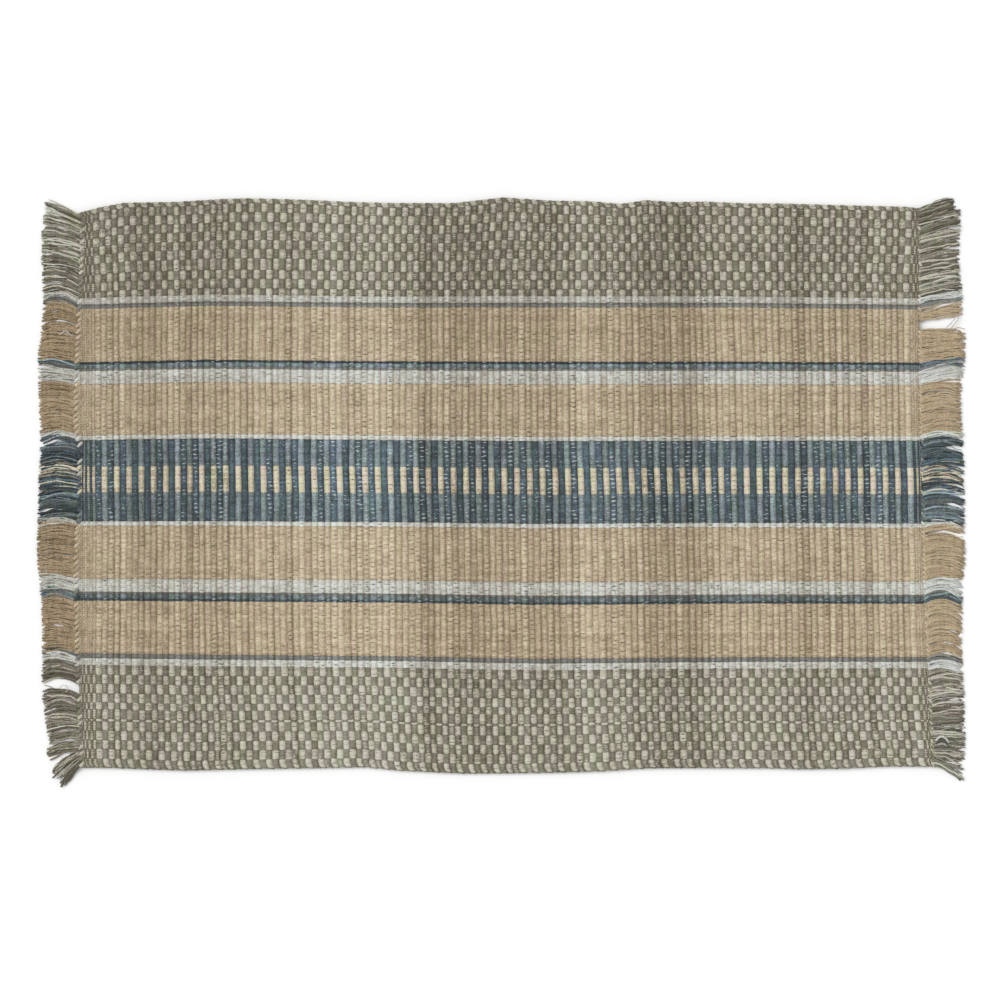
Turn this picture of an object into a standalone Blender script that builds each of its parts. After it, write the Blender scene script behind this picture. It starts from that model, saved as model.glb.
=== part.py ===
"""Flat-woven rag rug with knotted fringes at both short ends.

The warp runs along X and leaves the weave at both ends as fringe. The rag weft runs along Y, so
each weft pick stands up as a rib across the rug, on both faces. Metres, +Z up. The rug lies on
z = 0, with the middle of its outline at the origin.
"""
import random
from collections import namedtuple

import bmesh
import bpy

# Woven panel: thickness, rag picks in pairs of a narrow and a wide one, thin heading picks
RIB_THICKNESS = 0.0064
GROOVE_THICKNESS = 0.0034
HEADING_THICKNESS = 0.0050
HEADING_GROOVE = 0.0032
NARROW_THINNING = 0.0005
NARROW_SHARE = 0.45
CREST_SHARE = 0.42
HEADING_PICKS_LEFT = 6
HEADING_PICKS_RIGHT = 4
SELVEDGE_ROUNDING = 0.0045
SELVEDGE_SCALLOP = 0.0006
SHOULDER_THINNING = 0.86
WEAVE_SEED = 12

# Fringe: a strip of knots at the weave's end, with the locks of warp ends growing out of it
PANEL_GAP = 0.0003
KNOT_DEPTH = 0.0034
KNOT_HEIGHT = 0.0044
LOCK_PITCH = 0.0100
LOCK_CLEARANCE = 0.0010
CORNER_INSET = 0.0010
ROOT_SHARE = 0.74
LOCK_TOP_SHARE = 0.62
REACH_JITTER = 0.0026
LEAN_JITTER = 0.0010
FRINGE_SEED = 31

# Outline of the far and near long edges, as places along the rug
LongEdge = namedtuple("LongEdge", "along far near")
LONG_EDGES = [
    LongEdge(-0.460, 0.2945, -0.3055),
    LongEdge(-0.428, 0.3019, -0.3051),
    LongEdge(-0.401, 0.3062, -0.3062),
    LongEdge(-0.347, 0.3083, -0.3083),
    LongEdge(-0.271, 0.3105, -0.3073),
    LongEdge(-0.158, 0.3051, -0.3056),
    LongEdge(-0.050, 0.3062, -0.3120),
    LongEdge(0.004, 0.3116, -0.3116),
    LongEdge(0.058, 0.3073, -0.3108),
    LongEdge(0.139, 0.3051, -0.3075),
    LongEdge(0.166, 0.3094, -0.3067),
    LongEdge(0.274, 0.3056, -0.3062),
    LongEdge(0.355, 0.3040, -0.3073),
    LongEdge(0.409, 0.3035, -0.3046),
    LongEdge(0.466, 0.3000, -0.3056),
]

# Ends of the weave, as places across the rug from the near to the far edge
WeaveEnd = namedtuple("WeaveEnd", "across left right")
WEAVE_ENDS = [
    WeaveEnd(-0.305, -0.4525, 0.4655),
    WeaveEnd(-0.120, -0.4583, 0.4567),
    WeaveEnd(0.120, -0.4580, 0.4512),
    WeaveEnd(0.300, -0.4504, 0.4504),
]

# Middles of the narrow picks along the rug's middle line, at every tenth pair of picks
PickPlace = namedtuple("PickPlace", "pair along")
PICK_PLACES = [
    PickPlace(-1, -0.4410),
    PickPlace(0, -0.4279),
    PickPlace(10, -0.2981),
    PickPlace(20, -0.1609),
    PickPlace(30, -0.0238),
    PickPlace(40, 0.1134),
    PickPlace(50, 0.2506),
    PickPlace(60, 0.3877),
    PickPlace(64, 0.4417),
]
PAIRS = 65

# Locks at places across each end: where the tips lie along the rug, how far the tips lie
# sideways from the roots, and how far the middle of a lock bows sideways
LockRow = namedtuple("LockRow", "across tip lean bow")
LEFT_LOCKS = [
    LockRow(-0.301, -0.473, -0.024, 0.000),
    LockRow(-0.290, -0.484, -0.020, 0.001),
    LockRow(-0.280, -0.491, -0.010, 0.002),
    LockRow(-0.266, -0.489, -0.002, 0.003),
    LockRow(-0.232, -0.495, 0.002, 0.004),
    LockRow(-0.210, -0.496, 0.005, 0.004),
    LockRow(-0.167, -0.495, 0.002, 0.003),
    LockRow(-0.117, -0.497, 0.004, 0.003),
    LockRow(-0.078, -0.501, 0.001, 0.002),
    LockRow(0.006, -0.499, 0.000, 0.004),
    LockRow(0.049, -0.497, 0.001, 0.005),
    LockRow(0.092, -0.499, 0.002, 0.003),
    LockRow(0.134, -0.500, 0.007, 0.001),
    LockRow(0.162, -0.496, 0.003, 0.003),
    LockRow(0.196, -0.494, 0.004, 0.006),
    LockRow(0.239, -0.496, 0.008, 0.003),
    LockRow(0.264, -0.496, 0.007, 0.003),
    LockRow(0.289, -0.492, 0.017, 0.000),
]
RIGHT_LOCKS = [
    LockRow(-0.302, 0.493, -0.012, 0.000),
    LockRow(-0.290, 0.499, -0.002, 0.001),
    LockRow(-0.275, 0.501, 0.001, 0.001),
    LockRow(-0.242, 0.500, 0.004, 0.001),
    LockRow(-0.206, 0.499, -0.001, 0.003),
    LockRow(-0.190, 0.498, -0.006, 0.004),
    LockRow(-0.167, 0.497, -0.001, 0.005),
    LockRow(-0.120, 0.498, -0.002, 0.006),
    LockRow(-0.108, 0.498, 0.003, 0.004),
    LockRow(-0.080, 0.501, -0.003, 0.004),
    LockRow(-0.016, 0.500, -0.002, 0.004),
    LockRow(0.049, 0.499, 0.002, 0.004),
    LockRow(0.092, 0.496, 0.003, 0.003),
    LockRow(0.123, 0.500, 0.008, 0.002),
    LockRow(0.166, 0.501, 0.000, 0.003),
    LockRow(0.183, 0.499, 0.007, 0.003),
    LockRow(0.239, 0.494, 0.007, 0.001),
    LockRow(0.284, 0.496, 0.013, 0.001),
    LockRow(0.298, 0.486, 0.010, 0.001),
]
# Where the fringe stands open between two locks
LEFT_OPENINGS = [-0.218]
RIGHT_OPENINGS = [0.174]

# Sections of a lock from its root to its tip
LockSection = namedtuple("LockSection", "share fullness height")
LOCK_SECTIONS = [
    LockSection(0.28, 0.98, 0.0040),
    LockSection(0.64, 0.94, 0.0032),
    LockSection(1.00, 0.62, 0.0018),
]

# Colour bands of the warp from the near to the far edge
Band = namedtuple("Band", "start colour")
CHECK = (0.290, 0.275, 0.225)
PALE_GREY = (0.456, 0.456, 0.418)
SLATE = (0.181, 0.174, 0.156)
TAN = (0.420, 0.340, 0.240)
NAVY = (0.087, 0.107, 0.125)
BLUE = (0.140, 0.175, 0.181)
CREAM_AND_NAVY = (0.300, 0.290, 0.240)
WARP_BANDS = [
    Band(-0.320, CHECK),
    Band(-0.199, PALE_GREY),
    Band(-0.191, SLATE),
    Band(-0.185, TAN),
    Band(-0.129, NAVY),
    Band(-0.118, PALE_GREY),
    Band(-0.103, TAN),
    Band(-0.045, PALE_GREY),
    Band(-0.041, BLUE),
    Band(-0.010, CREAM_AND_NAVY),
    Band(0.019, BLUE),
    Band(0.049, PALE_GREY),
    Band(0.054, TAN),
    Band(0.109, PALE_GREY),
    Band(0.124, NAVY),
    Band(0.136, TAN),
    Band(0.192, SLATE),
    Band(0.196, PALE_GREY),
    Band(0.203, CHECK),
]
YARN_ROUGHNESS = 0.92

Column = namedtuple("Column", "along half_height scallop")


def read_rows(rows, column, place):
    """The value of a named column at a place between the rows, whose first column is the place."""
    position = rows[0]._fields.index(column)
    for low, high in zip(rows, rows[1:]):
        if place <= high[0]:
            break
    share = min(max((place - low[0]) / (high[0] - low[0]), 0.0), 1.0)
    return low[position] + share * (high[position] - low[position])


def weave_end(side, across):
    """Where the weave ends along the rug, on one side, at a place across it."""
    return read_rows(WEAVE_ENDS, side, across)


def along_at(middle_place, across):
    """Carry a place on the rug's middle line to the same weft line at another place across it."""
    left_middle = weave_end("left", 0.0)
    right_middle = weave_end("right", 0.0)
    share = (middle_place - left_middle) / (right_middle - left_middle)
    left = weave_end("left", across)
    return left + share * (weave_end("right", across) - left)


def heading_columns(start, end, picks):
    """Grid columns of the thin picks between two places along the rug."""
    columns = []
    pitch = (end - start) / picks
    crest = 0.5 * CREST_SHARE * pitch
    for pick in range(picks):
        middle = start + (pick + 0.5) * pitch
        columns.append(Column(middle - crest, HEADING_THICKNESS / 2, SELVEDGE_SCALLOP / 2))
        columns.append(Column(middle + crest, HEADING_THICKNESS / 2, SELVEDGE_SCALLOP / 2))
        if pick < picks - 1:
            columns.append(Column(middle + pitch / 2, HEADING_GROOVE / 2, 0.0))
    return columns


def rag_pick_edges():
    """Places of the grooves between the rag picks, from the first pick to the last."""
    edges = []
    for pair in range(PAIRS):
        before = read_rows(PICK_PLACES, "along", pair - 1)
        middle = read_rows(PICK_PLACES, "along", pair)
        pitch = middle - before
        edges.append(middle - (1.0 - NARROW_SHARE / 2) * pitch)
        edges.append(middle - NARROW_SHARE / 2 * pitch)
    edges.append(middle + NARROW_SHARE / 2 * pitch)
    return edges


def rag_columns(edges):
    """Grid columns of the rag picks: a groove, then the two sides of a flat crest."""
    rng = random.Random(WEAVE_SEED)
    columns = [Column(edges[0], GROOVE_THICKNESS / 2, 0.0)]
    for number, (start, end) in enumerate(zip(edges, edges[1:])):
        middle = (start + end) / 2
        crest = 0.5 * CREST_SHARE * (end - start)
        is_narrow = number % 2 == 1
        thinning = rng.uniform(0.0, NARROW_THINNING) if is_narrow else 0.0
        half_height = (RIB_THICKNESS - thinning) / 2
        scallop = SELVEDGE_SCALLOP * rng.uniform(0.5, 1.5)
        columns.append(Column(middle - crest, half_height, scallop))
        columns.append(Column(middle + crest, half_height, scallop))
        columns.append(Column(end, GROOVE_THICKNESS / 2, 0.0))
    return columns


def panel_columns():
    """All grid columns of the panel, from its left end to its right end."""
    left = weave_end("left", 0.0)
    right = weave_end("right", 0.0)
    edges = rag_pick_edges()
    columns = [Column(left, 0.0, 0.0)]
    columns += heading_columns(left, edges[0], HEADING_PICKS_LEFT)
    columns += rag_columns(edges)
    columns += heading_columns(edges[-1], right, HEADING_PICKS_RIGHT)
    columns.append(Column(right, 0.0, 0.0))
    return columns


def panel_rows(column):
    """Places across the rug and thinning of one column, from the near to the far selvedge."""
    near_middle = read_rows(LONG_EDGES, "near", column.along)
    far_middle = read_rows(LONG_EDGES, "far", column.along)
    near = near_middle - column.scallop
    far = far_middle + column.scallop
    return [
        (near, 0.0),
        (near_middle + SELVEDGE_ROUNDING, SHOULDER_THINNING),
        (WEAVE_ENDS[1].across, 1.0),
        (WEAVE_ENDS[2].across, 1.0),
        (far_middle - SELVEDGE_ROUNDING, SHOULDER_THINNING),
        (far, 0.0),
    ]


def build_woven_panel(collection):
    """The weave's upper half as a ribbed grid, mirrored at its middle plane into one solid."""
    columns = panel_columns()
    row_count = len(panel_rows(columns[0]))
    bm = bmesh.new()
    bmesh.ops.create_grid(bm, x_segments=len(columns) - 1, y_segments=row_count - 1, size=1.0)
    for vert in bm.verts:
        column = columns[round((vert.co.x + 1.0) / 2.0 * (len(columns) - 1))]
        row = round((vert.co.y + 1.0) / 2.0 * (row_count - 1))
        across, thinning = panel_rows(column)[row]
        vert.co = (along_at(column.along, across), across, column.half_height * thinning)
    mesh = bpy.data.meshes.new("woven_panel")
    bm.to_mesh(mesh)
    bm.free()
    panel = bpy.data.objects.new("woven_panel", mesh)
    collection.objects.link(panel)
    panel.location.z = RIB_THICKNESS / 2
    mirror = panel.modifiers.new("other face of the cloth", "MIRROR")
    mirror.use_axis = (False, False, True)
    mirror.merge_threshold = 0.00001
    mesh.materials.append(warp_material())
    return panel


def lock_roots(side, openings):
    """Middles of the lock roots across one end, without those where the fringe stands open."""
    end = weave_end(side, 0.0)
    near = read_rows(LONG_EDGES, "near", end) + CORNER_INSET
    far = read_rows(LONG_EDGES, "far", end) - CORNER_INSET
    count = round((far - near) / LOCK_PITCH)
    pitch = (far - near) / count
    roots = [near + (number + 0.5) * pitch for number in range(count)]
    return near, far, pitch, [
        root for root in roots if all(abs(root - place) > pitch / 2 for place in openings)
    ]


def lock_paths(side, roots, rows, outer_face):
    """Middle line of each lock: a point on the floor at the root and at each of its sections."""
    rng = random.Random(FRINGE_SEED + len(side))
    paths = []
    for root in roots:
        start = outer_face(root)
        outward = 1.0 if start > 0.0 else -1.0
        tip = read_rows(rows, "tip", root) - outward * rng.uniform(0.0, REACH_JITTER)
        lean = read_rows(rows, "lean", root) + rng.uniform(-LEAN_JITTER, LEAN_JITTER)
        bow = read_rows(rows, "bow", root)
        path = [(start, root)]
        for section in LOCK_SECTIONS:
            share = section.share
            sideways = lean * share + bow * 4.0 * share * (1.0 - share)
            path.append((start + share * (tip - start), root + sideways))
        paths.append(path)
    return paths


def lock_width(paths, number, level, pitch):
    """Room for a lock at one section, between the middle lines of its neighbours."""
    across = paths[number][level][1]
    room = pitch
    for neighbour in (number - 1, number + 1):
        if 0 <= neighbour < len(paths):
            room = min(room, abs(paths[neighbour][level][1] - across))
    return room - LOCK_CLEARANCE


def grow_lock(bm, root_face, paths, number, pitch):
    """Extrude a lock of warp ends from its root face on the strip, section by section."""
    root_height = KNOT_HEIGHT / 2
    root_middle = paths[number][0][1]
    corners = [(vert.co.y > root_middle, vert.co.z > root_height) for vert in root_face.verts]
    face = root_face
    for level, section in enumerate(LOCK_SECTIONS, start=1):
        face = bmesh.ops.extrude_discrete_faces(bm, faces=[face])["faces"][0]
        along, across = paths[number][level]
        width = lock_width(paths, number, level, pitch) * section.fullness
        for vert, (is_far, is_top) in zip(face.verts, corners):
            half = width / 2 * (LOCK_TOP_SHARE if is_top else 1.0)
            vert.co = (along, across + (half if is_far else -half), section.height if is_top else 0.0)


def build_fringe(name, side, rows, openings, collection):
    """One end's fringe: a narrow strip of knots beside the weave, with its locks on the floor."""
    outward = 1.0 if side == "right" else -1.0
    near, far, pitch, roots = lock_roots(side, openings)

    def inner_face(across):
        return weave_end(side, across) + outward * PANEL_GAP

    def outer_face(across):
        return inner_face(across) + outward * KNOT_DEPTH

    half_root = ROOT_SHARE * pitch / 2
    places = [near]
    for root in roots:
        places += [root - half_root, root + half_root]
    places.append(far)

    bm = bmesh.new()
    bmesh.ops.create_grid(bm, x_segments=1, y_segments=len(places) - 1, size=1.0)
    for vert in bm.verts:
        across = places[round((vert.co.y + 1.0) / 2.0 * (len(places) - 1))]
        is_outer = vert.co.x * outward > 0.0
        vert.co = (outer_face(across) if is_outer else inner_face(across), across, 0.0)
    raised = bmesh.ops.extrude_face_region(bm, geom=bm.faces[:])
    top = [item for item in raised["geom"] if isinstance(item, bmesh.types.BMVert)]
    bmesh.ops.translate(bm, verts=top, vec=(0.0, 0.0, KNOT_HEIGHT))

    paths = lock_paths(side, roots, rows, outer_face)
    for face in bm.faces[:]:
        middle = face.calc_center_median()
        if abs(middle.x - outer_face(middle.y)) > PANEL_GAP or abs(face.normal.z) > 0.5:
            continue
        for number, root in enumerate(roots):
            if abs(middle.y - root) < half_root / 2:
                grow_lock(bm, face, paths, number, pitch)
    bmesh.ops.recalc_face_normals(bm, faces=bm.faces[:])

    mesh = bpy.data.meshes.new(name)
    bm.to_mesh(mesh)
    bm.free()
    fringe = bpy.data.objects.new(name, mesh)
    collection.objects.link(fringe)
    mesh.materials.append(warp_material())
    return fringe


def warp_material():
    """Dyed yarn, with the warp's colour bands across the rug."""
    material = bpy.data.materials.get("striped_warp")
    if material:
        return material
    material = bpy.data.materials.new("striped_warp")
    material.use_nodes = True
    nodes = material.node_tree.nodes
    links = material.node_tree.links
    shader = nodes["Principled BSDF"]
    shader.inputs["Roughness"].default_value = YARN_ROUGHNESS
    shader.inputs["Metallic"].default_value = 0.0
    place = nodes.new("ShaderNodeTexCoord")
    axes = nodes.new("ShaderNodeSeparateXYZ")
    share = nodes.new("ShaderNodeMapRange")
    bands = nodes.new("ShaderNodeValToRGB")
    first, last = WARP_BANDS[0].start, -WARP_BANDS[0].start
    share.inputs["From Min"].default_value = first
    share.inputs["From Max"].default_value = last
    ramp = bands.color_ramp
    ramp.interpolation = "CONSTANT"
    ramp.elements.remove(ramp.elements[1])
    for number, band in enumerate(WARP_BANDS):
        position = (band.start - first) / (last - first)
        stop = ramp.elements.new(position) if number else ramp.elements[0]
        stop.position = position
        stop.color = (*band.colour, 1.0)
    links.new(place.outputs["Object"], axes.inputs["Vector"])
    links.new(axes.outputs["Y"], share.inputs["Value"])
    links.new(share.outputs["Result"], bands.inputs["Fac"])
    links.new(bands.outputs["Color"], shader.inputs["Base Color"])
    return material


def centre_on_origin(pieces):
    """Move the whole rug so that the middle of its outline is over the origin."""
    corners = [vert.co for piece in pieces for vert in piece.data.vertices]
    middle_x = (min(point.x for point in corners) + max(point.x for point in corners)) / 2
    middle_y = (min(point.y for point in corners) + max(point.y for point in corners)) / 2
    for piece in pieces:
        piece.location.x -= middle_x
        piece.location.y -= middle_y


def main():
    for leftover in list(bpy.data.objects):
        bpy.data.objects.remove(leftover)
    rug = bpy.data.collections.new("rag_rug")
    bpy.context.scene.collection.children.link(rug)
    centre_on_origin([
        build_woven_panel(rug),
        build_fringe("fringe_left", "left", LEFT_LOCKS, LEFT_OPENINGS, rug),
        build_fringe("fringe_right", "right", RIGHT_LOCKS, RIGHT_OPENINGS, rug),
    ])


main()
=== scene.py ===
"""Rag rug with knotted fringes, dressed as it lies on a pale floor.

The cloth is a warp-faced rib weave. Its rag weft is one closed sheet, and every float of the warp
on both faces is a small arched strip of two strands over one pick. Even ends float over the wide
picks and odd ends over the narrow ones, so the two sets of ends make the checks. Tubes of yarn run
from the weave's ends through a row of knots into the fringe.

Places along and across the rug are in the drawing's own metres, and PLAN_SHIFT carries them to the
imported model's frame.
"""

import math
from collections import namedtuple

import bmesh
import bpy
import numpy as np
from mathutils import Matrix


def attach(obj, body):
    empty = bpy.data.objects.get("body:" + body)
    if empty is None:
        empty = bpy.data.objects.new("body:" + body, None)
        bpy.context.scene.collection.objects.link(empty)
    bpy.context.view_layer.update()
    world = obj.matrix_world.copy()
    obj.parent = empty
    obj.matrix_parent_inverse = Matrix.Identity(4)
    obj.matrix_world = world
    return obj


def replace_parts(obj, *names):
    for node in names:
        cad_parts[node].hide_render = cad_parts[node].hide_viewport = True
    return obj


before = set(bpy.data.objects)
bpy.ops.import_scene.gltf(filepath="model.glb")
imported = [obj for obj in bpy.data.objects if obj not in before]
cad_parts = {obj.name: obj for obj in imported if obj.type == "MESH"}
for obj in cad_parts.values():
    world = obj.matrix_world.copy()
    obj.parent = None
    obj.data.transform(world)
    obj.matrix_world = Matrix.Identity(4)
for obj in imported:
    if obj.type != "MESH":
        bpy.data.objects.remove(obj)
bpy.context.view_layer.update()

PLAN_SHIFT = (-0.00037, 0.0064)
SEED = 7


def rows_of(kind, rows):
    """Rows of values as named tuples of one kind."""
    return [kind(*row) for row in rows]


def read_rows(rows, column, place):
    """Values of a named column at places between the rows, whose first column is the place."""
    places = [row[0] for row in rows]
    return np.interp(place, places, [getattr(row, column) for row in rows])


def read_table(table, place):
    """Values at places between those of a table."""
    return np.interp(place, list(table), list(table.values()))


# Outline of the cloth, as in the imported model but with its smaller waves
LongEdge = namedtuple("LongEdge", "along far near")
LONG_EDGES = rows_of(LongEdge, [
    (-0.46, 0.292, -0.3055),
    (-0.428, 0.3005, -0.3054),
    (-0.401, 0.3056, -0.3064),
    (-0.347, 0.3066, -0.3083),
    (-0.295, 0.31, -0.307),
    (-0.271, 0.3105, -0.3066),
    (-0.24, 0.31, -0.3061),
    (-0.2, 0.3085, -0.3055),
    (-0.158, 0.3065, -0.3047),
    (-0.118, 0.3055, -0.3085),
    (-0.05, 0.3053, -0.3115),
    (0.004, 0.3115, -0.3112),
    (0.058, 0.308, -0.3103),
    (0.1, 0.3075, -0.309),
    (0.139, 0.3045, -0.3063),
    (0.166, 0.3085, -0.3056),
    (0.2, 0.3063, -0.3055),
    (0.23, 0.307, -0.3057),
    (0.274, 0.3051, -0.3058),
    (0.31, 0.305, -0.3069),
    (0.355, 0.3037, -0.3063),
    (0.4, 0.3024, -0.3039),
    (0.44, 0.3015, -0.304),
    (0.466, 0.2995, -0.3045),
])
WeaveEnd = namedtuple("WeaveEnd", "across left right")
WEAVE_ENDS = rows_of(WeaveEnd, [
    (-0.305, -0.4525, 0.4655),
    (-0.12, -0.4583, 0.4567),
    (0.12, -0.458, 0.4512),
    (0.3, -0.4504, 0.4504),
])
# The left end stands back a little at the blue stripes
LEFT_NOTCH = {-0.052: 0.0, -0.041: 0.0031, 0.049: 0.0031, 0.06: 0.0}
HEADING_LEFT = 0.0201
HEADING_RIGHT = 0.0092
# How far the picks stray along the rug, at places across it, in five columns
LeanRow = namedtuple("LeanRow", "across at_left left_half middle right_half at_right")
PICK_LEAN = rows_of(LeanRow, [
    (-0.286, 0.0013, 0.0075, 0.005, 0.0078, 0.0117),
    (-0.253, 0.0008, 0.006, 0.0036, 0.0062, 0.0073),
    (-0.214, 0.0003, 0.0029, 0.0035, 0.0047, 0.0054),
    (-0.024, 0.0004, 0.0004, 0.0008, 0.0006, 0.0003),
    (0.005, 0.0, 0.0, 0.0, 0.0, 0.0),
    (0.03, 0.0, -0.0004, -0.001, -0.0008, -0.0008),
    (0.227, -0.0014, 0.0003, -0.0015, -0.0051, -0.0049),
    (0.257, -0.0025, 0.0002, 0.0, -0.0067, -0.0029),
    (0.3, -0.0027, 0.0024, 0.0017, -0.0079, -0.0018),
])
LEAN_PLACES = (-0.4007, -0.2171, -0.0011, 0.2149, 0.3985)

# Picks: middles of the narrow rag picks at every fifth pair, and the thin heading picks
PICK_PLACES = {
    -1: -0.441, 0: -0.4278, 5: -0.3622, 10: -0.2975, 15: -0.2294,
    20: -0.1604, 25: -0.0911, 30: -0.0237, 35: 0.0445, 40: 0.1138,
    45: 0.183, 50: 0.2521, 55: 0.3213, 60: 0.3886, 64: 0.4419,
}
PAIRS = 65
NARROW_SHARE = 0.475
HEADING_PICKS_LEFT = 11
HEADING_PICKS_RIGHT = 5

# Places across the rug of four lines of the stripes, which stray as they run along it
StripeLine = namedtuple("StripeLine", "along far_dark far_pale near_pale near_dark")
STRIPE_LINES = rows_of(StripeLine, [
    (-0.444, 0.1955, 0.0514, -0.0411, -0.1824),
    (-0.316, 0.1989, 0.0533, -0.0409, -0.1841),
    (-0.125, 0.197, 0.0515, -0.0419, -0.1855),
    (0.04, 0.1972, 0.0503, -0.0439, -0.1884),
    (0.25, 0.1972, 0.0506, -0.0426, -0.1867),
    (0.448, 0.195, 0.0508, -0.0435, -0.1866),
])
LINE_ENDS = (46.0, 106.0, 145.0, 204.5)

# Warp order from the far to the near edge: how many ends, and the yarns that float over the wide
# and, if others, over the narrow picks. A row of a check has its light yarn on the wide (W) or the
# narrow (N) picks. One row of the far check is wider, and one end of the near check swaps back.
Stripe = namedtuple("Stripe", "ends wide narrow", defaults=[None])
CheckRows = namedtuple("CheckRows", "light_on ends")
FAR_CHECK = CheckRows("WNWNWNWNWNW", (3, 4, 4, 4, 4, 4, 4, 5, 4, 4, 3))
NEAR_CHECK = CheckRows("WNWNWNWNWNWNW", (4, 4, 4, 4, 3, 4, 1, 4, 4, 4, 4, 4, 1))
STRIPES = rows_of(Stripe, [
    (3, "pale_grey"),
    (2, "slate"),
    (24, "tan"),
    (1, "navy"),
    (2, "slate_blue", "navy_grey"),
    (1, "slate"),
    (6, "pale_grey"),
    (23, "tan"),
    (2, "pale_line"),
    (12, "navy", "slate_blue"),
    (12, "navy", "warm_cream"),
    (13, "navy", "slate_blue"),
    (2, "pale_line"),
    (24, "light_tan"),
    (6, "pale_grey"),
    (1, "slate"),
    (2, "slate_blue", "navy_grey"),
    (1, "navy"),
    (24, "light_tan"),
    (2, "slate"),
    (3, "pale_grey"),
])

# Heights above the cloth's middle plane, and the shape of a float
HALF_THICKNESS = 0.0032
ROLL_RADIUS = 0.0032
ROLL_FLATTENING = 0.55
SELVEDGE_REACH = 0.0062
SELVEDGE_SLANT = 0.45
FloatShape = namedtuple("FloatShape", "crest foot strand_dip edge_dip opening skew")
WIDE_FLOAT = FloatShape(0.00305, 0.0015, 0.00008, 0.00042, 0.08, 0.25)
NARROW_FLOAT = FloatShape(0.00318, 0.0015, 0.00006, 0.00036, 0.06, 0.12)
HEADING_FLOAT = FloatShape(0.00245, 0.0018, 0.00008, 0.0003, 0.02, 0.1)
ARCH_POWER = 2.1
DIP_AT_FOOT = 0.4
SKEW_DRIFT = 0.3
# Where the points of a float lie along and across it, from -1 to 1
THREE = (-1.0, 0.0, 1.0)
FIVE = (-1.0, -0.5, 0.0, 0.5, 1.0)
TOP_STEPS = (FIVE, FIVE)
UNDER_STEPS = ((-1.0, -0.45, 0.45, 1.0), THREE)
HEADING_TOP_STEPS = (THREE, FIVE)
HEADING_UNDER_STEPS = (THREE, THREE)

# Pieces of the warp, each a band across the rug that starts at one of its ends
BAND_STARTS = {"far_border": 0, "far_field": 46, "centre": 105, "near_field": 146, "near_border": 206}
Band = namedtuple("Band", "first last")
FACES = {"top": 1.0, "under": -1.0}

# Rag weft: its ribs, and the ends of the warp at its rows of points
WEFT_SINK = 0.00085
WEFT_GROOVE = 0.001
WEFT_INSET = 0.0004
WEFT_RIB = 0.5
WEFT_ROWS = (22, 34, 60, 88, 115, 125, 138, 164, 190, 215, 230, 242)
SELVEDGE_ROWS = (0.0, 0.7, 1.4, 2.2, 4.0)
RAG_TONE = 0.22
WELD_REACH = 0.00001

# Room for each float and loose end in the OFBake map
BAKE_ROWS = 3
BAKE_FILL = 0.99
BAKE_HALF = 0.48
BAKE_STARTS = (0.01, 0.51)
TUBE_BAKE_LENGTH = (0.04, 0.96)
TUBE_BAKE_GIRTH = (0.06, 0.94)
YARN_COLUMNS = 26
KNOT_COLUMNS = 11
TINY = 1e-6

# Random differences between picks, ends and floats, and the painted shade and highlights of the floats
SKEW_RANGE = (-1.0, 1.0)
CREST_RANGE = (-1.0, 0.3)
GAP_RANGE = (0.25, 1.05)
GROOVE_RANGE = (0.35, 1.35)
OPENING_RANGE = (0.05, 1.55)
TICK_RANGE = (0.0, 1.1)
TICKED = ("taupe", "pale_grey")
PICK_TONE = 0.12
BROAD_TONE = 0.11
BROAD_PICKS = 7
END_TONE = 0.07
FLOAT_TONE = 0.11
FLOAT_STRAY = 0.1
CREST_STRAY = 0.00022
# Painted shade in the valleys between strands, where yarns of two colours meet, in the grooves between
# picks, on their shoulders and between the heading's strands
VALLEY_SHADE = 0.04
VALLEY_AT_CREST = 0.55
DIVIDE_SHADE = 0.42
GROOVE_SHADE = 0.54
SHOULDER_SHADE = 0.12
HEADING_GROOVE_SHADE = 0.72
HEADING_VALLEY_SHADE = 0.18
MIXED_VALLEY_SHADE = 0.26
# How far along a float its gaps reach, and where they open
GAP_REACH = 0.85
CREST_PLACES = (-0.5, 0.0, 0.0, 0.0, 0.5)
# Painted highlight on the middle of the floats' crests
BEAD_HIGHLIGHT = 0.28
PICK_WANDER = 0.00035
WAVE_ACROSS, WAVE_SWING, WAVE_ALONG = 23.0, 5.0, 6.0
RIPPLE_SHARE, RIPPLE_ACROSS, RIPPLE_ALONG = 0.6, 71.0, 17.0

# Tones at ends of the warp: the far side of the cloth is darker, and so are a few thin stripes
BORDER_TONES = {
    0: -0.1, 43: -0.12, 44: -0.24, 46: -0.24, 47: 0.06, 48: 0.06, 49: -0.08,
    71: -0.03, 72: -0.4, 73: 0.24, 75: 0.26, 76: -0.05, 81: -0.05, 82: 0.07,
    170: 0.04, 175: 0.03, 176: -0.06, 179: -0.04, 180: 0.03, 206: 0.01, 220: 0.14,
}

# Locks of the fringes: how far the tips reach, and how each lock leans, bows and fans out
LockRow = namedtuple("LockRow", "across tip lean bow fan", defaults=[1.0])
LEFT_LOCKS = rows_of(LockRow, [
    (-0.301, -0.475, -0.019, 0.0, 1.3),
    (-0.29, -0.484, -0.02, 0.001, 1.1),
    (-0.28, -0.491, -0.01, 0.002),
    (-0.266, -0.489, -0.002, 0.003),
    (-0.232, -0.495, 0.002, 0.004),
    (-0.21, -0.496, 0.005, 0.004),
    (-0.167, -0.495, 0.002, 0.003),
    (-0.117, -0.497, 0.004, 0.003),
    (-0.078, -0.501, 0.001, 0.002),
    (0.006, -0.499, 0.0, 0.004),
    (0.049, -0.497, 0.001, 0.005),
    (0.092, -0.499, 0.002, 0.003),
    (0.134, -0.5, 0.007, 0.001),
    (0.162, -0.496, 0.003, 0.003),
    (0.196, -0.494, 0.004, 0.006, 0.95),
    (0.239, -0.496, 0.008, 0.003, 0.9),
    (0.264, -0.496, 0.007, 0.003, 0.9),
    (0.289, -0.492, 0.017, 0.0, 0.9),
])
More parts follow.
